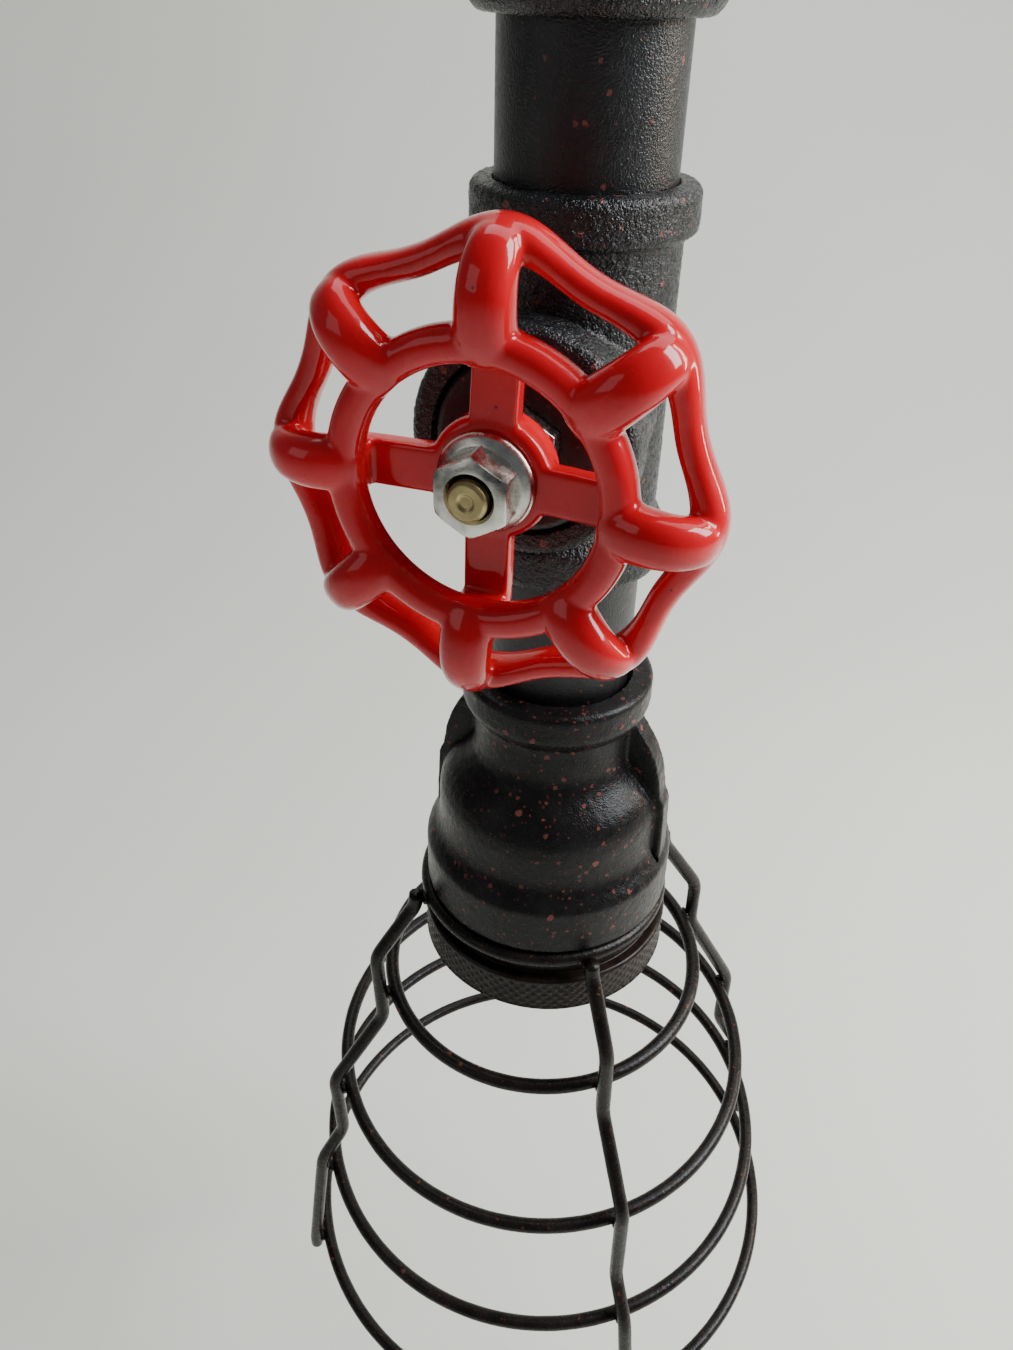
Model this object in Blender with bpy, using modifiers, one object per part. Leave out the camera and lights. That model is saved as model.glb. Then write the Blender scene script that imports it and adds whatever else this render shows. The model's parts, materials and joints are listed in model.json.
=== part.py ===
"""Industrial pipe lamp: pipe fittings, a valve handwheel that works a rotary switch, and a wire guard.

The pipe hangs straight down from the origin, which is the centre of the top coupling's end face.
Lengths below are in millimetres and angles in degrees; everything is built in metres, +Z up.
"""

import math

import bpy
import bmesh
from mathutils import Vector

MM = 0.001
GAP = 0.3  # clearance left between neighbouring pieces

# pipe run, heights measured from the top coupling's end face
PIPE_R = 13.35
PIPE_BORE_R = 10.75
SOCKET_R = PIPE_R + GAP
PASSAGE_R = 12.2
COUPLING_R = 17.4
COUPLING_LOW = -20.0
UPPER_NIPPLE = (-9.0, -53.0)
TEE_TOP, TEE_LOW = -40.0, -100.0
TEE_BODY_R, TEE_BAND_R = 14.9, 16.9
LOWER_NIPPLE = (-87.0, -137.0)

# branch of the tee: it points forward and a little to the left
BRANCH_Z = -71.5
BRANCH_TURN = -16.5
BRANCH_FACE = 25.5
BRANCH_BAND_R = 17.2

# handwheel, distances along the branch axis
WHEEL_PHASE = 87.0
LOBES = 8
SPOKE_TURNS = (0.0, 94.0, 182.0, 270.0)  # the casting's four spokes aren't quite square
HUB_R, HUB_BACK, HUB_FRONT = 8.8, 32.0, 38.0
GRIP_RING_R, GRIP_RING_AT = 19.2, 41.4
LOBE_R = 31.2
RIM_VALLEY_R, RIM_AT, RIM_WIRE_R = 28.8, 36.9, 2.1
STEM_R, STEM_END = 3.0, 45.6
NUT_BACK, NUT_FRONT = 38.3, 44.5
ARM_REST = 54.5  # the switch arm waits beside its stop post, which stands at 90

# bell reducer
BELL_TOP, BELL_LOW = -124.3, -176.7
BELL_BAND_R, BELL_NECK_R, BELL_BODY_R, BELL_MOUTH_R = 18.1, 15.8, 22.8, 25.7
BELL_CAVITY_R = 20.7
LUG_TURN = -17.0

# lampholder and shade ring
HOLDER_R = 19.8
SHADE_RING_R = 26.4
SHADE_RING = (-180.6, -184.1, -193.3)

# wire guard, hanging from the hoop under the bell
WIRE_R = 1.6
GUARD_ORIGIN = (-0.6, 0.0, -176.5)
GUARD_LEAN = (1.9, -1.5)
HOOP_R, HOOP_Z = 25.0, -178.65
GUARD_RINGS = ((35.0, 29.9), (48.35, 61.1), (54.8, 92.9), (60.7, 125.7))
WIRE_OUT = 2 * WIRE_R + GAP


# ---------------------------------------------------------------- helpers

for old in list(bpy.data.objects):
    bpy.data.objects.remove(old, do_unlink=True)

lamp = bpy.data.collections.new("pipe_lamp")
bpy.context.scene.collection.children.link(lamp)
cutters = bpy.data.collections.new("cutters")
bpy.context.scene.collection.children.link(cutters)


def material(name, colour, roughness, metallic):
    made = bpy.data.materials.new(name)
    made.use_nodes = True
    shader = made.node_tree.nodes["Principled BSDF"]
    shader.inputs["Base Color"].default_value = (*colour, 1.0)
    shader.inputs["Roughness"].default_value = roughness
    shader.inputs["Metallic"].default_value = metallic
    return made


def add_object(name, mesh, where=lamp):
    made = bpy.data.objects.new(name, mesh)
    where.objects.link(made)
    return made


def empty(name, location, rotation=(0, 0, 0)):
    made = bpy.data.objects.new(name, None)
    made.location = [v * MM for v in location]
    made.rotation_euler = [math.radians(v) for v in rotation]
    lamp.objects.link(made)
    return made


def finish(piece, paint, frame=None, angle=35.0):
    piece.data.materials.clear()
    piece.data.materials.append(paint)
    if piece.type == "MESH":
        piece.data.shade_smooth()
        piece.data.set_sharp_from_angle(angle=math.radians(angle))
    if frame is not None:
        piece.parent = frame
    return piece


def realise(piece):
    """Applies an object's modifiers, or turns a curve into a closed mesh."""
    graph = bpy.context.evaluated_depsgraph_get()
    mesh = bpy.data.meshes.new_from_object(piece.evaluated_get(graph))
    work = bmesh.new()
    work.from_mesh(mesh)
    bmesh.ops.remove_doubles(work, verts=work.verts, dist=1e-6)
    bmesh.ops.recalc_face_normals(work, faces=work.faces)
    work.to_mesh(mesh)
    work.free()
    name, matrix = piece.name, piece.matrix_world.copy()
    where = piece.users_collection[0]
    bpy.data.objects.remove(piece, do_unlink=True)
    made = add_object(name, mesh, where)
    made.matrix_world = matrix
    return made


def turned(name, profile, steps=40, where=lamp, closed=True):
    """A round piece from its (radius, height) profile, listed down the outside first."""
    work = bmesh.new()
    verts = [work.verts.new((r * MM, 0, z * MM)) for r, z in profile]
    for a, b in zip(verts, verts[1:]):
        work.edges.new((a, b))
    if closed:
        work.edges.new((verts[-1], verts[0]))
    mesh = bpy.data.meshes.new(name)
    work.to_mesh(mesh)
    work.free()
    piece = add_object(name, mesh, where)
    screw = piece.modifiers.new("turn", "SCREW")
    screw.steps = steps
    screw.render_steps = steps
    screw.use_merge_vertices = True
    screw.merge_threshold = 1e-6
    return piece


def solid_turned(name, profile, steps=40, where=lamp):
    """As turned, for a profile that starts and ends on the axis."""
    return turned(name, profile, steps, where, closed=False)


def rod(name, radius, low, high, steps=32, where=lamp, chamfer=0.0):
    c = chamfer
    profile = [(0, high), (radius - c, high), (radius, high - c)]
    profile += [(radius, low + c), (radius - c, low), (0, low)]
    if not c:
        profile = [(0, high), (radius, high), (radius, low), (0, low)]
    return solid_turned(name, profile, steps, where)


def tube(name, outer, inner, low, high, steps=32, chamfer=0.0):
    c = chamfer
    profile = [(inner, high), (outer - c, high), (outer, high - c)]
    profile += [(outer, low + c), (outer - c, low), (inner, low)]
    if not c:
        profile = [(inner, high), (outer, high), (outer, low), (inner, low)]
    return turned(name, profile, steps)


def block(name, size, centre, where=lamp):
    bpy.ops.mesh.primitive_cube_add(size=1.0)
    piece = bpy.context.object
    piece.name = name
    for vertex in piece.data.vertices:
        vertex.co = Vector([(v * s + c) * MM for v, s, c in zip(vertex.co, size, centre)])
    for holder in list(piece.users_collection):
        holder.objects.unlink(piece)
    where.objects.link(piece)
    return piece


def hexagon(name, across_flats, low, high, where=lamp):
    bpy.ops.mesh.primitive_cylinder_add(
        vertices=6, radius=across_flats / 3**0.5 * MM, depth=(high - low) * MM, location=(0, 0, 0)
    )
    piece = bpy.context.object
    piece.name = name
    for vertex in piece.data.vertices:
        vertex.co.z += (high + low) / 2 * MM
    for holder in list(piece.users_collection):
        holder.objects.unlink(piece)
    where.objects.link(piece)
    return piece


def wire(name, points, radius, closed=False, where=lamp, sides=2):
    curve = bpy.data.curves.new(name, "CURVE")
    curve.dimensions = "3D"
    curve.bevel_depth = radius * MM
    curve.bevel_resolution = sides
    curve.use_fill_caps = not closed
    spline = curve.splines.new("POLY")
    spline.points.add(len(points) - 1)
    for point, place in zip(spline.points, points):
        point.co = (*[v * MM for v in place], 1.0)
    spline.use_cyclic_u = closed
    return add_object(name, curve, where)


def combine(piece, others, operation):
    """Joins the others to a piece, or cuts them from it, one after another."""
    for other in others:
        step = piece.modifiers.new(other.name, "BOOLEAN")
        step.operation = operation
        step.solver = "EXACT"
        step.object = other
    bpy.context.view_layer.update()
    made = realise(piece)
    for other in others:
        bpy.data.objects.remove(other, do_unlink=True)
    return made


def polar(radius, angle, height=0.0):
    turn = math.radians(angle)
    return (radius * math.cos(turn), radius * math.sin(turn), height)


def rounded_path(corners, radius, steps=3):
    """Points along a bent line whose corners are rounded."""
    path = [Vector(corners[0])]
    for before, corner, after in zip(corners, corners[1:], corners[2:]):
        corner = Vector(corner)
        inward = (Vector(before) - corner).normalized()
        outward = (Vector(after) - corner).normalized()
        for i in range(steps + 1):
            t = i / steps
            start = corner + inward * radius
            end = corner + outward * radius
            path.append(start * (1 - t) ** 2 + corner * 2 * t * (1 - t) + end * t**2)
    path.append(Vector(corners[-1]))
    return path


cast_black = material("cast_black", (0.035, 0.036, 0.04), 0.6, 0.3)
pipe_black = material("pipe_black", (0.04, 0.041, 0.046), 0.42, 0.4)
enamel_red = material("enamel_red", (0.62, 0.03, 0.025), 0.12, 0.0)
zinc = material("zinc", (0.62, 0.61, 0.57), 0.28, 1.0)
brass = material("brass", (0.66, 0.52, 0.24), 0.35, 1.0)
bakelite = material("bakelite", (0.02, 0.019, 0.018), 0.35, 0.0)
ceramic = material("ceramic", (0.75, 0.72, 0.66), 0.4, 0.0)
wire_black = material("wire_black", (0.05, 0.038, 0.034), 0.35, 0.5)

branch = empty("branch_axis", (0, 0, BRANCH_Z), (90, 0, BRANCH_TURN))
wheel_frame = empty("wheel_axis", (0, 0, BRANCH_Z), (90, 0, BRANCH_TURN))
guard = empty("guard_axis", GUARD_ORIGIN, (GUARD_LEAN[0], GUARD_LEAN[1], 0))
bpy.context.view_layer.update()


# ---------------------------------------------------------------- pipe run

coupling = turned(
    "top_coupling",
    [
        (SOCKET_R, 0.0), (COUPLING_R - 1.2, 0.0), (COUPLING_R, -1.2), (COUPLING_R, -6.2),
        (COUPLING_R - 1.0, -7.6), (COUPLING_R - 1.0, -12.4), (COUPLING_R, -13.8),
        (COUPLING_R, COUPLING_LOW + 1.4), (COUPLING_R - 1.4, COUPLING_LOW), (SOCKET_R, COUPLING_LOW),
    ],
    36,
)
finish(coupling, cast_black)

for name, (high, low) in (("upper_nipple", UPPER_NIPPLE), ("lower_nipple", LOWER_NIPPLE)):
    finish(tube(name, PIPE_R, PIPE_BORE_R, low, high, 36, 0.5), pipe_black)

tee = realise(
    solid_turned(
        "tee",
        [
            (0, TEE_TOP), (TEE_BAND_R - 1.3, TEE_TOP), (TEE_BAND_R, TEE_TOP - 1.3),
            (TEE_BAND_R, TEE_TOP - 6.0), (TEE_BODY_R, TEE_TOP - 7.2), (TEE_BODY_R, TEE_LOW + 10.0),
            (TEE_BAND_R, TEE_LOW + 6.4), (TEE_BAND_R, TEE_LOW + 1.0), (TEE_BAND_R - 1.0, TEE_LOW),
            (0, TEE_LOW),
        ],
        40,
    )
)
arm = solid_turned(
    "tee_arm",
    [
        (0, BRANCH_FACE), (BRANCH_BAND_R - 1.2, BRANCH_FACE), (BRANCH_BAND_R, BRANCH_FACE - 1.2),
        (BRANCH_BAND_R, BRANCH_FACE - 6.5), (TEE_BODY_R, BRANCH_FACE - 8.5), (TEE_BODY_R, 4.0), (0, 4.0),
    ],
    40,
)
arm.matrix_world = branch.matrix_world
arm = realise(arm)
run_bore = realise(
    solid_turned(
        "run_bore",
        [
            (0, TEE_TOP + 5), (SOCKET_R, TEE_TOP + 5), (SOCKET_R, UPPER_NIPPLE[1] - 1.0),
            (PASSAGE_R, UPPER_NIPPLE[1] - 2.4), (PASSAGE_R, LOWER_NIPPLE[0] + 2.4),
            (SOCKET_R, LOWER_NIPPLE[0] + 1.0), (SOCKET_R, TEE_LOW - 5), (0, TEE_LOW - 5),
        ],
        40,
        cutters,
    )
)
arm_bore = solid_turned(
    "arm_bore",
    [(0, 40), (SOCKET_R, 40), (SOCKET_R, 11.2), (PASSAGE_R, 9.8), (PASSAGE_R, 0), (0, 0)],
    40,
    cutters,
)
arm_bore.matrix_world = branch.matrix_world
arm_bore = realise(arm_bore)
tee = combine(tee, [arm], "UNION")
tee = combine(tee, [run_bore, arm_bore], "DIFFERENCE")
finish(tee, cast_black)


# ---------------------------------------------------------------- switch and spindle in the branch

bonnet = turned(
    "branch_bushing",
    [
        (5.0, 26.2), (12.2, 26.2), (12.9, 25.6), (PIPE_R, 24.8), (PIPE_R, 14.2), (PIPE_R - 0.7, 13.5),
        (5.0, 13.5),
    ],
    32,
)
finish(bonnet, cast_black, branch)

cover = turned(
    "switch_cover",
    [(3.3, 29.6), (4.3, 29.6), (4.7, 29.2), (4.7, 13.2), (10.6, 13.2), (10.6, 11.5), (3.3, 11.5)],
    28,
)
finish(cover, bakelite, branch)

locknut = hexagon("switch_locknut", 12.5, 26.5, 29.0)
locknut = combine(locknut, [realise(rod("locknut_bore", 5.0, 20, 35, 24, cutters))], "DIFFERENCE")
finish(locknut, zinc, branch)

housing = realise(
    solid_turned(
        "switch_housing",
        [(0, -3.0), (9.8, -3.0), (10.6, -2.2), (10.6, 11.2), (9.2, 11.2), (9.2, -1.0), (0, -1.0)][::-1],
        36,
    )
)
stop_post = block("stop_post", (3.2, 3.4, 11.0), (0, 8.3, 4.0))
housing = combine(housing, [stop_post], "UNION")
slots = [block(f"slot_{side}", (5.0, 1.6, 8.0), (0, side * 5.0, -2.0), cutters) for side in (-1, 1)]
housing = combine(housing, slots, "DIFFERENCE")
finish(housing, bakelite, branch)
for tag, side in (("a", 1), ("b", -1)):
    finish(block(f"switch_contact_{tag}", (4.2, 0.9, 8.0), (0, side * 5.0, -4.2)), brass, branch)

rotor = realise(rod("switch_rotor", 5.8, 2.0, 9.5, 28))
rotor_arm = block("rotor_arm", (7.0, 4.4, 5.0), (5.2, 0, 5.5))
rotor_arm.rotation_euler.z = math.radians(ARM_REST)
bpy.context.view_layer.update()
rotor = combine(rotor, [rotor_arm], "UNION")
rotor = combine(rotor, [realise(rod("rotor_bore", STEM_R + GAP, 0, 12, 24, cutters))], "DIFFERENCE")
finish(rotor, bakelite, wheel_frame)

spindle = solid_turned(
    "spindle",
    [
        (0, STEM_END), (2.5, STEM_END), (2.8, STEM_END - 0.4), (2.8, 30.8), (STEM_R, 30.6), (STEM_R, 1.0),
        (0, 1.0),
    ],
    24,
)
finish(spindle, brass, wheel_frame)


# ---------------------------------------------------------------- handwheel

def out_of_round(radius, swing):
    """A radius of the wheel's outer part as cast: a little narrow from side to side."""
    turn = math.radians(swing)
    pinch = -0.8 + 0.6 * math.cos(2 * turn) - 0.25 * math.sin(turn)
    return GRIP_RING_R + (radius - GRIP_RING_R) * (1 + pinch / (LOBE_R - GRIP_RING_R))


def lobe_turn(swing):
    """Where a lobe of the casting stands: those at the two sides sit a little low."""
    return WHEEL_PHASE + swing + 1.2 * math.sin(math.radians(swing))


grip = realise(
    wire("handwheel", [polar(GRIP_RING_R, i * 9, GRIP_RING_AT) for i in range(40)], 2.6, closed=True)
)
hub = realise(
    turned(
        "hub",
        [
            (3.2, HUB_FRONT), (7.9, HUB_FRONT), (HUB_R, HUB_FRONT - 0.8), (HUB_R - 0.3, HUB_BACK + 0.7),
            (7.8, HUB_BACK), (3.2, HUB_BACK),
        ],
        36,
    )
)
pieces = [hub]
# each spoke: tag, inner and outer radius, back and front, width
SPOKE_BLOCKS = (("flat", 6.0, 19.0, 34.7, 37.9, 6.7), ("riser", 17.3, 20.3, 35.1, 40.7, 6.1))
for k, spoke_turn in enumerate(SPOKE_TURNS):
    for tag, near, far, back, front, width in SPOKE_BLOCKS:
        size = (far - near, width, front - back)
        spoke = block(f"spoke_{k}_{tag}", size, ((near + far) / 2, 0, (front + back) / 2))
        spoke.rotation_euler.z = math.radians(WHEEL_PHASE + spoke_turn)
        pieces.append(spoke)
LOBE_PATH = (
    (18.6, 41.6), (22.5, 42.9), (26.3, 43.0), (29.4, 41.6), (30.9, 39.4), (30.9, 37.6), (30.2, RIM_AT),
)
for k in range(LOBES):
    swing = k * 360 / LOBES
    course = [polar(out_of_round(r, swing), lobe_turn(swing), s) for r, s in LOBE_PATH]
    pieces.append(realise(wire(f"lobe_{k}", course, 3.0)))
rim_points = []
for i in range(LOBES * 5):
    swing = i * 360 / (LOBES * 5)
    reach = (LOBE_R - RIM_VALLEY_R) * (0.5 + 0.5 * math.cos(math.radians(swing * LOBES)))
    rim_points.append(polar(out_of_round(RIM_VALLEY_R + reach, swing), lobe_turn(swing), RIM_AT))
pieces.append(realise(wire("rim", rim_points, RIM_WIRE_R, closed=True)))
bpy.context.view_layer.update()
wheel = combine(grip, pieces, "UNION")
finish(wheel, enamel_red, wheel_frame, 50)

nut = realise(
    solid_turned(
        "flange_nut",
        [
            (0, 40.6), (5.2, 40.6), (6.6, 39.6), (7.0, 39.2), (7.0, NUT_BACK), (0, NUT_BACK),
        ],
        32,
    )
)
nut_hex = hexagon("nut_hex", 10.0, 39.0, NUT_FRONT)
nut_cone_profile = [(0, NUT_FRONT), (4.6, NUT_FRONT), (6.2, NUT_FRONT - 1.0), (6.2, 38.6), (0, 38.6)]
nut_cone = realise(solid_turned("nut_cone", nut_cone_profile, 32))
nut_hex = combine(nut_hex, [nut_cone], "INTERSECT")
nut = combine(nut, [nut_hex], "UNION")
nut = combine(nut, [realise(rod("nut_bore", 3.15, 30, 50, 24, cutters))], "DIFFERENCE")
finish(nut, zinc, wheel_frame)


# ---------------------------------------------------------------- bell reducer

reducer = realise(
    solid_turned(
        "bell_reducer",
        [
            (0, BELL_TOP), (BELL_BAND_R - 0.9, BELL_TOP), (BELL_BAND_R, BELL_TOP - 0.9),
            (BELL_BAND_R, BELL_TOP - 5.6), (BELL_BAND_R - 0.9, BELL_TOP - 7.6), (BELL_NECK_R, BELL_TOP - 8.4),
            (BELL_NECK_R, BELL_TOP - 17.0), (BELL_NECK_R + 1.4, BELL_TOP - 19.4),
            (BELL_NECK_R + 4.2, BELL_TOP - 22.4), (BELL_BODY_R - 0.6, BELL_TOP - 25.8),
            (BELL_BODY_R, BELL_TOP - 28.6), (BELL_BODY_R, BELL_TOP - 35.2),
            (BELL_BODY_R + 0.9, BELL_TOP - 38.8), (BELL_MOUTH_R - 0.6, BELL_TOP - 40.9),
            (BELL_MOUTH_R, BELL_TOP - 41.5),
            (BELL_MOUTH_R, BELL_LOW + 0.8), (BELL_MOUTH_R - 0.7, BELL_LOW), (0, BELL_LOW),
        ],
        36,
    )
)
lugs = []
for k in (0, 1):
    outline = [
        (10.0, -7.2), (17.2, -8.0), (18.6, -10.2), (20.4, -12.6), (21.8, -15.6), (22.6, -19.0), (23.2, -24.6),
        (24.2, -26.8), (24.5, -32.0), (24.7, -38.8), (10.0, -40.0),
    ]
    curve = bpy.data.curves.new(f"lug_{k}", "CURVE")
    curve.dimensions = "2D"
    curve.fill_mode = "BOTH"
    curve.extrude = 2.6 * MM
    spline = curve.splines.new("POLY")
    spline.points.add(len(outline) - 1)
    for point, (r, z) in zip(spline.points, outline):
        point.co = (r * MM, (z + BELL_TOP) * MM, 0, 1)
    spline.use_cyclic_u = True
    lug = add_object(f"lug_{k}", curve)
    lug.rotation_euler = (math.radians(90), 0, math.radians(LUG_TURN + 180 * k))
    bpy.context.view_layer.update()
    lugs.append(realise(lug))
bell_bore = realise(
    solid_turned(
        "bell_bore",
        [
            (0, BELL_TOP + 5), (SOCKET_R, BELL_TOP + 5), (SOCKET_R, -139.4), (PASSAGE_R, -139.4),
            (PASSAGE_R, -145.5), (BELL_CAVITY_R - 2.4, -151.5), (BELL_CAVITY_R, -155.0),
            (BELL_CAVITY_R, BELL_LOW - 5), (0, BELL_LOW - 5),
        ],
        36,
        cutters,
    )
)
reducer = combine(reducer, lugs, "UNION")
reducer = combine(reducer, [bell_bore], "DIFFERENCE")
finish(reducer, cast_black)


# ---------------------------------------------------------------- lampholder inside the bell

finish(tube("support_disc", 13.3, 5.2, -139.1, -137.3, 32), zinc)
holder_nut = hexagon("holder_locknut", 14.0, -137.0, -134.4)
holder_nut_bore = realise(rod("holder_nut_bore", 5.2, -150, -120, 24, cutters))
holder_nut = combine(holder_nut, [holder_nut_bore], "DIFFERENCE")
finish(holder_nut, zinc)
finish(tube("holder_rod", 4.9, 3.4, -155.5, -132.0, 24, 0.4), zinc)
cap = turned(
    "holder_cap",
    [
        (5.2, -148.6), (7.6, -148.6), (8.4, -149.4), (8.4, -151.8), (13.6, -153.2), (17.0, -156.4),
        (18.0, -160.4), (18.0, -163.6), (16.4, -163.6), (16.4, -160.8), (15.4, -157.4), (12.6, -154.8),
        (8.0, -153.6), (5.2, -153.6),
    ],
    24,
)
finish(cap, bakelite)
finish(rod("holder_insert", 15.9, -169.2, -161.2, 32, chamfer=0.8), ceramic)
finish(block("centre_contact", (5.0, 12.0, 0.9), (0, 0, -170.0)), brass)
finish(block("side_contact", (0.9, 4.5, 7.0), (-15.0, 0, -173.2)), brass)
for tag, side in (("a", 1), ("b", -1)):
    screw_head = rod(f"terminal_screw_{tag}", 2.4, -160.9, -159.0, 20, chamfer=0.3)
    screw_head.location = (side * 7.5 * MM, 0, 0)
    finish(screw_head, brass)
finish(tube("screw_shell", 14.0, 13.3, -188.5, -170.8, 28), brass)
skirt = turned(
    "holder_skirt",
    [
        (18.4, -158.2), (19.3, -158.2), (HOLDER_R, -159.0), (HOLDER_R, -195.0), (HOLDER_R - 0.8, -196.0),
        (14.4, -196.0), (14.4, -190.0), (16.6, -189.0), (16.6, -164.0), (18.4, -164.0),
    ],
    32,
)
finish(skirt, bakelite)

shade_ring = turned(
    "shade_ring",
    [
        (20.2, SHADE_RING[0]), (23.8, SHADE_RING[0]), (24.1, SHADE_RING[1]),
        (SHADE_RING_R - 0.8, SHADE_RING[1]), (SHADE_RING_R, SHADE_RING[1] - 0.8),
        (SHADE_RING_R, SHADE_RING[2] + 0.8), (SHADE_RING_R - 0.8, SHADE_RING[2]), (20.2, SHADE_RING[2]),
    ],
    40,
)
finish(shade_ring, bakelite)


# ---------------------------------------------------------------- wire guard

hoop_points = [polar(HOOP_R, i * 10, HOOP_Z) for i in range(36)]
hoop = wire("guard_hoop", hoop_points, WIRE_R, closed=True, sides=1)
hoop.location.x = GUARD_ORIGIN[0] * MM
finish(hoop, wire_black)
for k, (radius, drop) in enumerate(GUARD_RINGS):
    ring_points = [polar(radius, i * 9, -drop) for i in range(40)]
    ring = wire(f"guard_ring_{k + 1}", ring_points, WIRE_R, closed=True, sides=1)
    finish(ring, wire_black, guard)

# (radius, drop) of each bend; the wires were bent one by one, so their bends differ a little
HOOP_REACH, REACH_1, REACH_2, REACH_3, REACH_4 = [
    radius + WIRE_OUT for radius in (HOOP_R,) + tuple(radius for radius, drop in GUARD_RINGS)
]
TOP_BENDS = ((HOOP_REACH, 0.2), (HOOP_REACH + 0.5, 3.6))
FOOT = ((REACH_4, 125.0), (REACH_4 + 0.1, 128.2))
BENDS = {
    "right": ((REACH_1, 20.0), (REACH_1, 33.0), (REACH_2, 60.0), (REACH_2, 77.5), (REACH_3, 91.0)),
    "back": ((REACH_1, 18.0), (REACH_1, 35.0), (REACH_2, 57.0), (REACH_2, 79.0), (REACH_3, 90.5)),
    "left": ((REACH_1, 17.0), (REACH_1, 37.5), (REACH_2, 57.0), (REACH_2, 77.5), (REACH_3, 88.5)),
    "front": ((REACH_1, 17.0), (REACH_1, 36.5), (REACH_2, 54.5), (REACH_2, 81.0), (REACH_3, 90.5)),
}
TURNS = {"right": 22.0, "back": 107.0, "left": 202.0, "front": -68.0}
for tag, bends in BENDS.items():
    corners = [polar(r, TURNS[tag], -s) for r, s in TOP_BENDS + bends + FOOT]
    bar = wire(f"guard_wire_{tag}", rounded_path(corners, 1.6, 2), WIRE_R, sides=1)
    finish(bar, wire_black, guard)
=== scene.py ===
"""Looks of the pipe lamp: cast fittings, enamelled handwheel, lampholder and wire guard, over the frame.

Lengths are in millimetres and angles in degrees until a mesh is made. The pipe's axis is Z; pieces on the
tee's branch are drawn about their own Z, which stands along the branch, with Y up, and then set in place.
"""

import json
import math

import bmesh
import bpy
from mathutils import Matrix, Vector, noise


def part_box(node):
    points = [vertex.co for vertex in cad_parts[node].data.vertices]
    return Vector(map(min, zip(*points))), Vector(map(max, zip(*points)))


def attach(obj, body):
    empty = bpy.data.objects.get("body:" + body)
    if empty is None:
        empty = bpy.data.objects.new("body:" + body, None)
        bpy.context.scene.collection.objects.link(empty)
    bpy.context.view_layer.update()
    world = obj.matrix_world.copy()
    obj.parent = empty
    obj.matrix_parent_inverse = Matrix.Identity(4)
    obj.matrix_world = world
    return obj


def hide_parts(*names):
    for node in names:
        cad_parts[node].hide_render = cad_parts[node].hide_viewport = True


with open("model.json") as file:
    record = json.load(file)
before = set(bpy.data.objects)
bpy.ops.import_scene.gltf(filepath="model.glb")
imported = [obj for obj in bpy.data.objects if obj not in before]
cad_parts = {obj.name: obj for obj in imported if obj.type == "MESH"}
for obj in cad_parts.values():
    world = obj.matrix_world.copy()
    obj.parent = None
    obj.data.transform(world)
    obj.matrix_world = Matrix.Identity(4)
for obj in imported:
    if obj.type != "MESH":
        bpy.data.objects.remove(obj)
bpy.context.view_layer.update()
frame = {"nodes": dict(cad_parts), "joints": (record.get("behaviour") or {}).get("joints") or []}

MM = 0.001
TAU = 2 * math.pi


def node_span(node, axis):
    """Lowest and highest value of a node along one axis, in millimetres."""
    low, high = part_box(node)
    return low[axis] / MM, high[axis] / MM


# driving dimensions, read from the frame
PIPE_R = node_span("upper_nipple", 0)[1]
SOCKET_R = PIPE_R + 0.3
PASSAGE_R = 12.2
PIPE_BORE_R = 10.75
COUPLING_LOW, COUPLING_TOP = node_span("top_coupling", 2)
COUPLING_R = node_span("top_coupling", 0)[1]
TEE_LOW, TEE_TOP = node_span("tee", 2)
TEE_BAND_R = node_span("tee", 0)[1]
TEE_BODY_R = TEE_BAND_R - 2.0
UPPER_LOW, UPPER_HIGH = node_span("upper_nipple", 2)
LOWER_LOW, LOWER_HIGH = node_span("lower_nipple", 2)
BELL_LOW, BELL_TOP = node_span("bell_reducer", 2)
RING_LOW, RING_TOP = node_span("shade_ring", 2)
RING_R = node_span("shade_ring", 0)[1]

joints = {joint["name"]: joint for joint in frame["joints"]}
wheel_joint = joints["wheel_turn"]
BRANCH_Z = wheel_joint["pos_m"][2] / MM
BRANCH_TURN = -math.degrees(math.atan2(wheel_joint["axis"][0], wheel_joint["axis"][1]))
BRANCH_FACE = 25.5
BRANCH_BAND_R = 17.2

# the handwheel, about the branch's axis: heights are measured out from the pipe's axis
WHEEL_PHASE = 87.0
SPOKE_TURNS = (0.0, 94.0, 182.0, 270.0)
LOBES = 8
LOBE_R = 31.2
HUB_R, HUB_BACK, HUB_FRONT = 8.8, 32.0, 38.0
GRIP_R, GRIP_AT = 19.2, 41.4
STEM_END, NUT_FRONT = 45.6, 44.5
NUT_BACK, NUT_BORE_R, NUT_FLATS = 38.3, 3.15, 10.0

# the guard leans a little on the lampholder; rings are (radius, drop), wires stand at these turns
WIRE_R = 1.6
GUARD_ORIGIN = (-0.6, 0.0, -176.5)
GUARD_LEAN = (1.9, -1.5)
HOOP_R, HOOP_Z = 25.0, -178.65
GUARD_RINGS = ((35.0, 29.9), (48.35, 61.1), (54.8, 92.9), (60.7, 125.7))
GUARD_WIRES = {"right": 22.0, "back": 107.0, "left": 202.0, "front": -68.0}

UPRIGHT = Matrix.Identity(4)
ON_BRANCH = (
    Matrix.Translation((0, 0, BRANCH_Z))
    @ Matrix.Rotation(math.radians(BRANCH_TURN), 4, "Z")
    @ Matrix.Rotation(math.radians(90), 4, "X")
)
ON_GUARD = (
    Matrix.Translation(GUARD_ORIGIN)
    @ Matrix.Rotation(math.radians(GUARD_LEAN[1]), 4, "Y")
    @ Matrix.Rotation(math.radians(GUARD_LEAN[0]), 4, "X")
)


# ---------------------------------------------------------------- shapes


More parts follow.
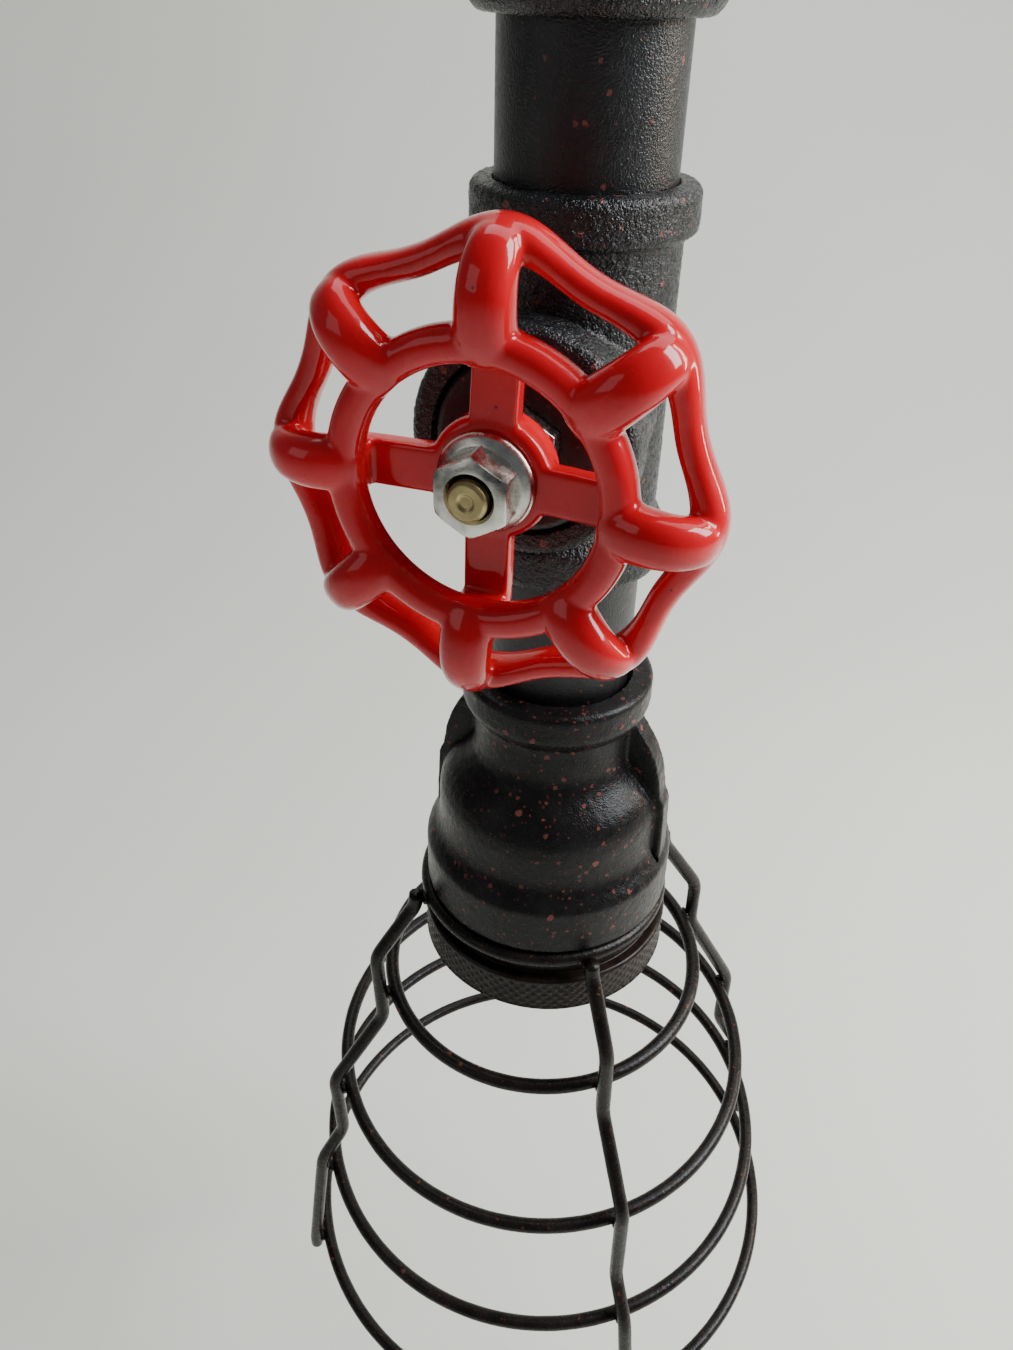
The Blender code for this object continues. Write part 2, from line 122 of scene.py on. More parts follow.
def polar(radius, angle, height=0.0):
    """A point at a radius and a turn about Z."""
    turn = math.radians(angle)
    return Vector((radius * math.cos(turn), radius * math.sin(turn), height))


def softened(points, radius, closed=True, steps=4):
    """An outline whose corners are rounded, as far as its sides leave room."""
    count = len(points)
    out = []
    for i, point in enumerate(points):
        corner = Vector(point)
        if not closed and i in (0, count - 1):
            out.append(corner)
            continue
        before = Vector(points[i - 1])
        after = Vector(points[(i + 1) % count])
        reach = min(radius, (before - corner).length * 0.45, (after - corner).length * 0.45)
        start = corner + (before - corner).normalized() * reach
        end = corner + (after - corner).normalized() * reach
        for k in range(steps + 1):
            t = k / steps
            out.append(start * (1 - t) ** 2 + corner * 2 * t * (1 - t) + end * t**2)
    return out


def divided(points, longest, closed=True):
    """The same outline with no side longer than asked."""
    out = []
    ends = points[1:] + (points[:1] if closed else [])
    for a, b in zip(points, ends):
        parts = max(1, math.ceil((b - a).length / longest))
        out += [a.lerp(b, k / parts) for k in range(parts)]
    return out if closed else out + [points[-1]]


def object_from(name, work, place=UPRIGHT):
    """Makes an object of a mesh drawn in millimetres and sets it in place, in metres."""
    bmesh.ops.remove_doubles(work, verts=work.verts, dist=1e-4)
    bmesh.ops.recalc_face_normals(work, faces=work.faces)
    mesh = bpy.data.meshes.new(name)
    work.to_mesh(mesh)
    work.free()
    mesh.transform(Matrix.Scale(MM, 4) @ place)
    mesh.shade_smooth()
    made = bpy.data.objects.new(name, mesh)
    bpy.context.scene.collection.objects.link(made)
    return made


def turned(name, profile, steps=96, place=UPRIGHT, radius=0.5, closed=True, longest=None, relief=None):
    """A round piece from its (radius, height) outline; relief takes (r, z, turn) and gives a new (r, z)."""
    outline = [Vector(p) for p in profile]
    if radius:
        outline = softened(outline, radius, closed)
    if longest:
        outline = divided(outline, longest, closed)
    work = bmesh.new()
    rows = []
    for i in range(steps):
        turn = TAU * i / steps
        row = []
        for r, z in outline:
            if relief and r > 0.01:
                r, z = relief(r, z, turn)
            row.append(work.verts.new((r * math.cos(turn), r * math.sin(turn), z)))
        rows.append(row)
    last = len(outline) if closed else len(outline) - 1
    for i in range(steps):
        row, following = rows[i], rows[(i + 1) % steps]
        for k in range(last):
            m = (k + 1) % len(outline)
            work.faces.new((row[k], row[m], following[m], following[k]))
    return object_from(name, work, place)


def threaded(pitch, depth, low, high, inside_of=None, outside_of=None):
    """Relief of a screw thread over part of a turned piece's height."""

    def relief(r, z, turn):
        if low < z < high and (inside_of is None or r < inside_of) and (outside_of is None or r > outside_of):
            fade = min(1.0, (z - low) / pitch, (high - z) / pitch)
            phase = (z / pitch - turn / TAU) % 1.0
            r += depth * fade * (abs(phase * 2 - 1) * 2 - 1)
        return r, z

    return relief


def swept(name, centres, sections, place=UPRIGHT, closed=False):
    """A skin over a row of closed sections, each given as offsets from its centre."""
    work = bmesh.new()
    rows = [[work.verts.new(c + p) for p in section] for c, section in zip(centres, sections)]
    pairs = list(zip(rows, rows[1:])) + ([(rows[-1], rows[0])] if closed else [])
    for row, following in pairs:
        for k in range(len(row)):
            m = (k + 1) % len(row)
            work.faces.new((row[k], row[m], following[m], following[k]))
    if not closed:
        work.faces.new(rows[0])
        work.faces.new(rows[-1])
    return object_from(name, work, place)


def tube(name, path, radius, place=UPRIGHT, closed=False, sides=16, uneven=0.0):
    """A wire along a path, its thickness varied a little along its length."""
    count = len(path)
    centres, sections = [], []
    side = None
    for i, point in enumerate(path):
        before = path[i - 1] if closed or i else path[0]
        after = path[(i + 1) % count] if closed or i < count - 1 else path[-1]
        along = (after - before).normalized()
        if side is None:
            side = along.orthogonal().normalized()
            if closed:
                side = Vector((0, 0, 1)) - along * along.z
                side.normalize()
        side = (side - along * side.dot(along)).normalized()
        other = along.cross(side)
        reach = radius * (1 + uneven * noise.noise(point * 0.21))
        centres.append(Vector(point))
        turns = [TAU * k / sides for k in range(sides)]
        sections.append([side * reach * math.cos(a) + other * reach * math.sin(a) for a in turns])
    return swept(name, centres, sections, place, closed)


def smooth_path(corners, bend, spacing=1.2):
    """Points along a bent wire: straight runs joined by round bends."""
    points = softened([Vector(c) for c in corners], bend, closed=False, steps=8)
    return divided(points, spacing, closed=False)


def slab(name, size, centre, place=UPRIGHT, edge=0.4, turn=0.0):
    """A block with rounded edges."""
    work = bmesh.new()
    bmesh.ops.create_cube(work, size=1.0)
    for vertex in work.verts:
        vertex.co = Vector([v * s for v, s in zip(vertex.co, size)])
    bmesh.ops.bevel(work, geom=work.edges[:], offset=edge, segments=3, affect="EDGES", profile=0.5)
    spin = Matrix.Rotation(math.radians(turn), 4, "Z") @ Matrix.Translation(centre)
    bmesh.ops.transform(work, matrix=spin, verts=work.verts)
    return object_from(name, work, place)


def prism(name, across_flats, low, high, place=UPRIGHT, edge=0.25):
    """A hexagonal prism with softened edges."""
    work = bmesh.new()
    radius = across_flats / 3**0.5
    bmesh.ops.create_cone(work, cap_ends=True, segments=6, radius1=radius, radius2=radius, depth=high - low)
    bmesh.ops.translate(work, vec=(0, 0, (low + high) / 2), verts=work.verts)
    bmesh.ops.bevel(work, geom=work.edges[:], offset=edge, segments=3, affect="EDGES", profile=0.5)
    return object_from(name, work, place)


def plate(name, outline, thickness, place=UPRIGHT):
    """A flat plate from its (x, z) outline, standing on the pipe's axis plane."""
    work = bmesh.new()
    half = thickness / 2
    front = [work.verts.new((x, -half, z)) for x, z in outline]
    back = [work.verts.new((x, half, z)) for x, z in outline]
    work.faces.new(front)
    work.faces.new(back[::-1])
    for k in range(len(outline)):
        m = (k + 1) % len(outline)
        work.faces.new((front[k], front[m], back[m], back[k]))
    return object_from(name, work, place)


def realise(piece):
    """Replaces an object's mesh with the one its modifiers make."""
    graph = bpy.context.evaluated_depsgraph_get()
    mesh = bpy.data.meshes.new_from_object(piece.evaluated_get(graph))
    piece.modifiers.clear()
    piece.data = mesh
    mesh.shade_smooth()
    return piece


def joined(name, parts):
    """One object from several, which are used up."""
    work = bmesh.new()
    for part in parts:
        work.from_mesh(part.data)
        bpy.data.objects.remove(part, do_unlink=True)
    mesh = bpy.data.meshes.new(name)
    work.to_mesh(mesh)
    work.free()
    mesh.shade_smooth()
    made = bpy.data.objects.new(name, mesh)
    bpy.context.scene.collection.objects.link(made)
    return made


def cut(piece, cutters):
    """Takes cutters out of a piece, and uses them up."""
    for cutter in cutters:
        step = piece.modifiers.new(cutter.name, "BOOLEAN")
        step.operation = "DIFFERENCE"
        step.solver = "EXACT"
        step.object = cutter
    realise(piece)
    for cutter in cutters:
        bpy.data.objects.remove(cutter, do_unlink=True)
    return piece


def remeshed(piece, voxel, rounds):
    """Runs overlapping shapes together into one skin, with soft fillets where they meet."""
    mesher = piece.modifiers.new("skin", "REMESH")
    mesher.mode = "VOXEL"
    mesher.voxel_size = voxel * MM
    mesher.adaptivity = 0.0
    easing = piece.modifiers.new("easing", "SMOOTH")
    easing.factor = 0.5
    easing.iterations = rounds
    return realise(piece)


def roughened(piece, height, size, finer=0.0):
    """Raises and lowers a surface along its normals, as sand casting does."""
    mesh = piece.data
    offsets = []
    for vertex in mesh.vertices:
        place = vertex.co / (size * MM)
        lump = noise.noise(place) + 0.5 * noise.noise(place * 2.1 + Vector((7.0, 3.0, 1.0)))
        if finer:
            lump += finer * noise.noise(place * 4.7 + Vector((1.0, 9.0, 4.0)))
        offsets.append(vertex.normal * lump * height * MM)
    for vertex, offset in zip(mesh.vertices, offsets):
        vertex.co += offset
    mesh.update()
    return piece


def kept_under(piece, axis, low, high):
    """Holds a roughened piece inside its frame along one axis."""
    for vertex in piece.data.vertices:
        vertex.co[axis] = min(max(vertex.co[axis], low), high)
    return piece


def kept_within(piece, radius):
    """Holds the crests of a threaded piece inside a radius about the pipe's axis."""
    limit = radius * MM
    for vertex in piece.data.vertices:
        reach = math.hypot(vertex.co.x, vertex.co.y)
        if reach > limit:
            vertex.co.x *= limit / reach
            vertex.co.y *= limit / reach
    return piece


# ---------------------------------------------------------------- materials


def new_material(name):
    """A material, its node tree and its shader."""
    made = bpy.data.materials.new(name)
    made.use_nodes = True
    return made, made.node_tree, made.node_tree.nodes["Principled BSDF"]


def add(tree, kind, **inputs):
    """A node with some of its inputs set."""
    node = tree.nodes.new(kind)
    for key, value in inputs.items():
        node.inputs[key.replace("_", " ")].default_value = value
    return node


def place_of(tree):
    """Object coordinates, in metres."""
    return tree.nodes.new("ShaderNodeTexCoord").outputs["Object"]


def noise_at(tree, scale, detail=3.0, roughness=0.55):
    """Noise from 0 to 1 over the object; the scale is in lumps per metre."""
    node = add(tree, "ShaderNodeTexNoise", Scale=scale, Detail=detail, Roughness=roughness)
    tree.links.new(place_of(tree), node.inputs["Vector"])
    return node.outputs["Fac"]


def ramp(tree, source, stops):
    """Turns a value into a colour or a grey level, through (position, colour) stops."""
    node = tree.nodes.new("ShaderNodeValToRGB")
    for i, (position, colour) in enumerate(stops):
        stop = node.color_ramp.elements[i] if i < 2 else node.color_ramp.elements.new(position)
        stop.position = position
        stop.color = (*colour, 1.0) if isinstance(colour, tuple) else (colour, colour, colour, 1.0)
    tree.links.new(source, node.inputs["Fac"])
    return node.outputs["Color"]


def blended(tree, factor, first, second):
    """first where the factor is 0, second where it is 1; either may be a colour."""
    node = tree.nodes.new("ShaderNodeMix")
    node.data_type = "RGBA"
    tree.links.new(factor, node.inputs["Factor"])
    for socket, value in ((node.inputs["A"], first), (node.inputs["B"], second)):
        if isinstance(value, tuple):
            socket.default_value = (*value, 1.0)
        else:
            tree.links.new(value, socket)
    return node.outputs["Result"]


def wobbled(tree, amount, scale):
    """Object coordinates pushed about by noise, in millimetres, so that round shapes turn ragged."""
    swirl = add(tree, "ShaderNodeTexNoise", Scale=scale, Detail=2.0)
    tree.links.new(place_of(tree), swirl.inputs["Vector"])
    shift = tree.nodes.new("ShaderNodeVectorMath")
    shift.operation = "MULTIPLY_ADD"
    tree.links.new(swirl.outputs["Color"], shift.inputs[0])
    shift.inputs[1].default_value = (amount * MM,) * 3
    tree.links.new(place_of(tree), shift.inputs[2])
    return shift.outputs[0]


def spots(tree, scale, share, size, wobble=0.0):
    """A mask of small roundish spots: one in some of the cells, with sizes that differ."""
    cells = add(tree, "ShaderNodeTexVoronoi", Scale=scale, Randomness=1.0)
    place = wobbled(tree, wobble, scale * 2.6) if wobble else place_of(tree)
    tree.links.new(place, cells.inputs["Vector"])
    split = tree.nodes.new("ShaderNodeSeparateColor")
    tree.links.new(cells.outputs["Color"], split.inputs["Color"])
    chosen = ramp(tree, split.outputs["Red"], ((1.0 - share, 0.0), (min(1.0, 1.001 - share), 1.0)))
    reach = tree.nodes.new("ShaderNodeMath")
    reach.operation = "MULTIPLY"
    tree.links.new(split.outputs["Green"], reach.inputs[0])
    reach.inputs[1].default_value = size
    near = tree.nodes.new("ShaderNodeMath")
    near.operation = "LESS_THAN"
    tree.links.new(cells.outputs["Distance"], near.inputs[0])
    tree.links.new(reach.outputs[0], near.inputs[1])
    both = tree.nodes.new("ShaderNodeMath")
    both.operation = "MULTIPLY"
    tree.links.new(chosen, both.inputs[0])
    tree.links.new(near.outputs[0], both.inputs[1])
    return both.outputs[0]


def bumped(tree, shader, layers, coat=False):
    """Stacks bump layers of (height, strength, distance in mm) on the shader's normal."""
    normal = None
    for height, strength, distance in layers:
        node = tree.nodes.new("ShaderNodeBump")
        node.inputs["Strength"].default_value = strength
        node.inputs["Distance"].default_value = distance * MM
        tree.links.new(height, node.inputs["Height"])
        if normal:
            tree.links.new(normal, node.inputs["Normal"])
        normal = node.outputs["Normal"]
    tree.links.new(normal, shader.inputs["Normal"])
    if coat:
        tree.links.new(normal, shader.inputs["Coat Normal"])


def black_finish(name, dark, light, rust, rust_share, gloss, lumps, grit, fine, shine):
    """Black paint on iron: mottled, flecked with red-brown, gritty in the light."""
    made, tree, shader = new_material(name)
    mottle = ramp(tree, noise_at(tree, 210, 5.0, 0.6), ((0.36, dark), (0.68, light)))
    faint = blended(tree, spots(tree, 1300, rust_share, 0.4, 0.5), mottle, tuple(c * 0.6 for c in rust))
    small = blended(tree, spots(tree, 720, rust_share * 0.8, 0.36, 0.7), faint, rust)
    large = blended(tree, spots(tree, 400, rust_share, 0.27, 1.0), small, tuple(c * 1.3 for c in rust))
    tree.links.new(large, shader.inputs["Base Color"])
    sheen = ramp(tree, noise_at(tree, 900, 4.0, 0.6), ((0.32, gloss[0]), (0.7, gloss[1])))
    tree.links.new(sheen, shader.inputs["Roughness"])
    shader.inputs["Specular IOR Level"].default_value = shine
    layers = (
        (noise_at(tree, 620, 3.0, 0.6), lumps, 0.3),
        (noise_at(tree, 1700, 2.0, 0.6), grit, 0.4),
        (noise_at(tree, 3300, 1.0), fine, 0.2),
    )
    bumped(tree, shader, layers)
    return made


RUST = (0.13, 0.034, 0.028)
cast_iron = black_finish(
    "cast_iron",
    dark=(0.003, 0.003, 0.0035),
    light=(0.011, 0.0115, 0.0135),
    rust=RUST,
    rust_share=0.13,
    gloss=(0.17, 0.38),
    lumps=0.45,
    grit=1.0,
    fine=0.9,
    shine=0.5,
)
bell_iron = black_finish(
    "bell_iron",
    dark=(0.0045, 0.004, 0.004),
    light=(0.011, 0.01, 0.0105),
    rust=RUST,
    rust_share=0.33,
    gloss=(0.24, 0.38),
    lumps=0.25,
    grit=0.16,
    fine=0.4,
    shine=0.19,
)
pipe_paint = black_finish(
    "pipe_paint",
    dark=(0.004, 0.004, 0.0045),
    light=(0.009, 0.0095, 0.011),
    rust=RUST,
    rust_share=0.1,
    gloss=(0.28, 0.42),
    lumps=0.12,
    grit=0.22,
    fine=0.6,
    shine=0.55,
)
wire_paint = black_finish(
    "wire_paint",
    dark=(0.006, 0.0045, 0.004),
    light=(0.015, 0.011, 0.0095),
    rust=(0.09, 0.026, 0.016),
    rust_share=0.16,
    gloss=(0.2, 0.36),
    lumps=0.3,
    grit=0.2,
    fine=0.2,
    shine=0.2,
)


def enamel():
    """Glossy red stove enamel with a few pinholes, under a clear coat."""
    made, tree, shader = new_material("red_enamel")
    tone = ramp(tree, noise_at(tree, 60, 3.0), ((0.3, (0.56, 0.003, 0.009)), (0.75, (0.72, 0.006, 0.016))))
    pinholes = spots(tree, 420, 0.12, 0.16)
    tree.links.new(blended(tree, pinholes, tone, (0.1, 0.004, 0.005)), shader.inputs["Base Color"])
    shader.inputs["Coat Weight"].default_value = 1.0
    shader.inputs["Coat Roughness"].default_value = 0.04
    shader.inputs["Coat IOR"].default_value = 1.42
    shader.inputs["Specular IOR Level"].default_value = 0.12
    smear = ramp(tree, noise_at(tree, 190, 4.0), ((0.4, 0.22), (0.75, 0.38)))
    tree.links.new(smear, shader.inputs["Roughness"])
    bumped(tree, shader, ((noise_at(tree, 210, 2.0), 0.16, 0.5), (pinholes, -0.5, 0.08)), coat=True)
    return made


def metal(name, colour, worn, gloss, scratch, stain=0.0):
    """Bare or plated metal with fine scratches and duller patches."""
    made, tree, shader = new_material(name)
    tone = ramp(tree, noise_at(tree, 260, 4.0), ((0.3, worn), (0.62, colour)))
    if stain:
        patch = ramp(tree, noise_at(tree, 150, 3.0), ((0.56, 0.0), (0.7, stain)))
        tone = blended(tree, patch, tone, tuple(c * 0.28 for c in worn))
    tree.links.new(tone, shader.inputs["Base Color"])
    shader.inputs["Metallic"].default_value = 1.0
    smear = ramp(tree, noise_at(tree, 900, 3.0), ((0.3, gloss[0]), (0.7, gloss[1])))
    tree.links.new(smear, shader.inputs["Roughness"])
    stretched = add(tree, "ShaderNodeMapping", Scale=(1.0, 1.0, 9.0))
    tree.links.new(place_of(tree), stretched.inputs["Vector"])
    lines = add(tree, "ShaderNodeTexNoise", Scale=700.0, Detail=3.0)
    tree.links.new(stretched.outputs["Vector"], lines.inputs["Vector"])
    layers = (
        (lines.outputs["Fac"], scratch, 0.05),
        (noise_at(tree, 1600, 2.0), scratch * 0.7, 0.04),
    )
    bumped(tree, shader, layers)
    return made


def moulded(name, dark, light, gloss, grain, shine=0.5):
    """Moulded plastic or glazed ceramic, faintly mottled."""
    made, tree, shader = new_material(name)
    tone = ramp(tree, noise_at(tree, 330, 4.0), ((0.3, dark), (0.72, light)))
    tree.links.new(tone, shader.inputs["Base Color"])
    smear = ramp(tree, noise_at(tree, 700, 3.0), ((0.3, gloss[0]), (0.7, gloss[1])))
    tree.links.new(smear, shader.inputs["Roughness"])
    shader.inputs["Specular IOR Level"].default_value = shine
    bumped(tree, shader, ((noise_at(tree, 1500, 3.0), grain, 0.06),))
    return made


red_enamel = enamel()
zinc_plate = metal("zinc_plate", (0.72, 0.71, 0.66), (0.5, 0.49, 0.45), (0.16, 0.34), 0.25, 0.8)
old_brass = metal("old_brass", (0.55, 0.45, 0.22), (0.34, 0.28, 0.14), (0.25, 0.45), 0.4, 0.3)
contact_brass = metal("contact_brass", (0.75, 0.6, 0.3), (0.6, 0.46, 0.22), (0.2, 0.35), 0.3)
dark_bakelite = moulded("dark_bakelite", (0.008, 0.006, 0.006), (0.02, 0.014, 0.012), (0.3, 0.45), 0.2)
white_ceramic = moulded("white_ceramic", (0.6, 0.57, 0.51), (0.72, 0.7, 0.64), (0.35, 0.5), 0.3)
ring_bakelite = moulded(
    "ring_bakelite", (0.009, 0.0055, 0.0045), (0.022, 0.014, 0.011), (0.22, 0.36), 0.25, shine=0.2
)


def dress(piece, paint, body, slot, *nodes):
    """Paints a piece, lets it ride on its body and hides the frame nodes that it stands for."""
    piece.data.materials.clear()
    piece.data.materials.append(paint)
    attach(piece, body)
    if nodes:
        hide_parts(*nodes)
    return piece


# ---------------------------------------------------------------- pipe run

COUPLING_BAND_R, COUPLING_WAIST_R = COUPLING_R - 0.1, COUPLING_R - 1.1
coupling = turned(
    "coupling",
    [
        (SOCKET_R, COUPLING_TOP), (COUPLING_R - 1.3, COUPLING_TOP),
        (COUPLING_BAND_R, -1.4), (COUPLING_BAND_R, -6.0), (COUPLING_WAIST_R, -7.4), (COUPLING_WAIST_R, -12.4),
        (COUPLING_BAND_R, -13.8), (COUPLING_BAND_R, -18.4),
        (COUPLING_R - 1.5, COUPLING_LOW), (SOCKET_R + 0.4, COUPLING_LOW), (SOCKET_R, COUPLING_LOW + 0.6),
    ],
    steps=180,
    longest=0.4,
    radius=0.8,
    relief=threaded(1.8, 0.22, -8.6, -0.6, inside_of=SOCKET_R + 0.1),
)
roughened(coupling, 0.07, 1.0, 0.8)
kept_under(coupling, 2, COUPLING_LOW * MM, 0.0)
dress(coupling, cast_iron, "pipe_run", "cast_black", "top_coupling")

for name, low, high in (("upper_nipple", UPPER_LOW, UPPER_HIGH), ("lower_nipple", LOWER_LOW, LOWER_HIGH)):
    pipe = turned(
        f"{name}_pipe",
        [
            (PIPE_BORE_R, high), (PIPE_R - 0.6, high), (PIPE_R, high - 0.8),
            (PIPE_R, low + 0.8), (PIPE_R - 0.6, low), (PIPE_BORE_R, low),
        ],
        steps=144,
        radius=0.3,
        longest=1.0,
    )
    dress(pipe, pipe_paint, "pipe_run", "pipe_black", name)

run = turned(
    "run",
    [
        (0, TEE_TOP), (TEE_BAND_R - 0.8, TEE_TOP), (TEE_BAND_R, TEE_TOP - 0.9), (TEE_BAND_R, TEE_TOP - 6.2),
        (TEE_BODY_R, TEE_TOP - 7.4), (TEE_BODY_R, TEE_LOW + 10.0), (TEE_BAND_R, TEE_LOW + 6.4),
        (TEE_BAND_R, TEE_LOW + 0.9), (TEE_BAND_R - 0.8, TEE_LOW), (0, TEE_LOW),
    ],
    steps=128,
    radius=0.5,
    closed=False,
)
arm = turned(
    "arm",
    [
        (0, BRANCH_FACE), (BRANCH_BAND_R - 1.0, BRANCH_FACE), (BRANCH_BAND_R, BRANCH_FACE - 1.0),
        (BRANCH_BAND_R, BRANCH_FACE - 6.5), (TEE_BODY_R, BRANCH_FACE - 8.5), (TEE_BODY_R, 4.0), (0, 4.0),
    ],
    steps=128,
    place=ON_BRANCH,
    radius=0.5,
    closed=False,
)
tee = remeshed(joined("tee_casting", [run, arm]), 0.36, 4)
run_bore = turned(
    "run_bore",
    [
        (0, TEE_TOP + 5), (SOCKET_R, TEE_TOP + 5), (SOCKET_R, UPPER_LOW - 1.0),
        (PASSAGE_R, UPPER_LOW - 2.4), (PASSAGE_R, LOWER_HIGH + 2.4),
        (SOCKET_R, LOWER_HIGH + 1.0), (SOCKET_R, TEE_LOW - 5), (0, TEE_LOW - 5),
    ],
    steps=128,
    radius=0,
    closed=False,
)
arm_bore = turned(
    "arm_bore",
    [(0, 40), (SOCKET_R, 40), (SOCKET_R, 11.2), (PASSAGE_R, 9.8), (PASSAGE_R, 0), (0, 0)],
    steps=128,
    place=ON_BRANCH,
    radius=0,
    closed=False,
)
cut(tee, [run_bore, arm_bore])
roughened(tee, 0.1, 1.0, 0.9)
dress(tee, cast_iron, "pipe_run", "cast_black", "tee")


# ---------------------------------------------------------------- branch: bushing, switch and spindle

bushing = turned(
    "bushing",
    [
        (5.0, 25.7), (5.6, 26.2), (11.9, 26.2), (12.6, 25.8), (PIPE_R - 0.1, 24.8), (PIPE_R - 0.1, 14.2),
        (PIPE_R - 0.7, 13.5), (5.0, 13.5),
    ],
    steps=160,
    place=ON_BRANCH,
    radius=0.3,
    longest=0.35,
    relief=threaded(1.8, 0.2, 14.0, 25.2, outside_of=PIPE_R - 0.3),
)
dress(bushing, pipe_paint, "pipe_run", "cast_black", "branch_bushing")

cover = turned(
    "switch_cover_piece",
    [(3.3, 29.6), (4.3, 29.6), (4.7, 29.2), (4.7, 13.2), (10.6, 13.2), (10.6, 11.5), (3.3, 11.5)],
    steps=96,
    place=ON_BRANCH,
    radius=0.2,
    longest=0.3,
    relief=threaded(1.0, 0.12, 14.0, 29.4, outside_of=4.55),
)
dress(cover, dark_bakelite, "pipe_run", "bakelite", "switch_cover")

locknut = prism("locknut_piece", 12.5, 26.5, 29.0, ON_BRANCH, 0.3)
locknut_bore = turned(
    "locknut_bore",
    [(0, 35), (5.0, 35), (5.0, 20), (0, 20)],
    steps=64,
    place=ON_BRANCH,
    radius=0,
    closed=False,
)
cut(locknut, [locknut_bore])
dress(locknut, zinc_plate, "pipe_run", "zinc", "switch_locknut")

stem = turned(
    "stem",
    [
        (0, STEM_END - 0.3), (0.9, STEM_END - 0.3), (1.3, STEM_END), (2.35, STEM_END), (2.8, STEM_END - 0.45),
        (2.8, 30.8), (3.0, 30.6), (3.0, 1.0), (0, 1.0),
    ],
    steps=96,
    place=ON_BRANCH,
    radius=0.12,
    closed=False,
    longest=0.25,
    relief=threaded(1.0, 0.1, 38.0, STEM_END - 0.5, outside_of=2.6),
)
dress(stem, old_brass, "wheel", "brass", "spindle")


# ---------------------------------------------------------------- handwheel


SQUARENESS = 0.85


def oval(side, across, width, thick, count=20):
    """A section with two half-widths, a little squarer than an ellipse."""
    points = []
    for k in range(count):
        c, s = math.cos(TAU * k / count), math.sin(TAU * k / count)
        c, s = math.copysign(abs(c) ** SQUARENESS, c), math.copysign(abs(s) ** SQUARENESS, s)
        points.append(side * c * width + across * s * thick)
    return points


def ring_of(name, radius_at, height_at, width, thick, count=192):
    """A closed ring about the wheel's axis: half-height and half-thickness are given by angle."""
    centres, sections = [], []
    for i in range(count):
        angle = 360 * i / count
        outward = polar(1, angle)
        centres.append(polar(radius_at(angle), angle, height_at(angle)))
        sections.append(oval(Vector((0, 0, 1)), outward, width(angle), thick(angle)))
    return swept(name, centres, sections, closed=True)


def between(a, b, c, d, t):
    """A smooth value from b to c, with a before them and d after."""
    return 0.5 * (2 * b + (c - a) * t + (2 * a - 5 * b + 4 * c - d) * t**2 + (3 * b - a - 3 * c + d) * t**3)


def smooth_through(points, per_span=6):
    """A smooth curve through points, with as many values in each as it needs."""
    out = []
    last = len(points) - 1
    for i in range(last):
        p0, p1 = points[max(i - 1, 0)], points[i]
        p2, p3 = points[i + 1], points[min(i + 2, last)]
        for k in range(per_span):
            out.append([between(a, b, c, d, k / per_span) for a, b, c, d in zip(p0, p1, p2, p3)])
    return out + [list(points[-1])]


# along each finger: radius, height, half-width across, half-thickness
FINGER = (
    (17.6, 40.6, 3.5, 2.7), (20.5, 41.9, 3.9, 3.1), (24.0, 42.5, 3.8, 3.2), (27.2, 42.2, 3.6, 3.1),
    (29.6, 40.8, 3.4, 2.9), (30.6, 38.8, 3.3, 2.7), (30.5, 37.2, 3.1, 2.4), (29.8, 36.2, 2.7, 2.1),
)
# the blocks of a spoke: name, size, where its middle stands, rounding of its edges
SPOKE_BLOCKS = (
    ("spoke", (13.4, 6.7, 3.1), (12.6, 0, 36.3), 0.5),
    ("riser", (3.0, 7.0, 5.6), (18.6, 0, 38.4), 0.8),
)


def out_of_round(radius, swing):
    """A radius of the wheel's outer part as cast: a little narrow from side to side."""
    turn = math.radians(swing)
    pinch = -0.8 + 0.6 * math.cos(2 * turn) - 0.25 * math.sin(turn)
    return GRIP_R + (radius - GRIP_R) * (1 + pinch / (LOBE_R - GRIP_R))


def lobe_turn(swing):
    """Where a lobe of the casting stands: those at the two sides sit a little low."""
    return WHEEL_PHASE + swing + 1.2 * math.sin(math.radians(swing))


def finger(k):
    """One of the fingers that reach over from the grip ring down to the rim."""
    swing = k * 360 / LOBES
    angle = lobe_turn(swing)
    outward, across = polar(1, angle), polar(1, angle + 90)
    course = [[out_of_round(r, swing), s, width, thick] for r, s, width, thick in smooth_through(FINGER)]
    centres, sections = [], []
    for i, (r, s, width, thick) in enumerate(course):
        before, after = course[max(i - 1, 0)], course[min(i + 1, len(course) - 1)]
        along = Vector((after[0] - before[0], after[1] - before[1])).normalized()
        normal = outward * -along.y + Vector((0, 0, along.x))
        centres.append(outward * r + Vector((0, 0, s)))
        sections.append(oval(across, normal, width, thick))
    return swept(f"finger_{k}", centres, sections)


def at_lobe(angle):
    """1 where a finger meets the rim, 0 halfway to the next one."""
    return (0.5 + 0.5 * math.cos(math.radians((angle - WHEEL_PHASE) * LOBES))) ** 1.5


def rim_radius(angle):
    """The scalloped rim: further out at the fingers than between them."""
    swing = angle - WHEEL_PHASE
    return out_of_round(30.0 + 1.1 * math.cos(math.radians(swing * LOBES)), swing)


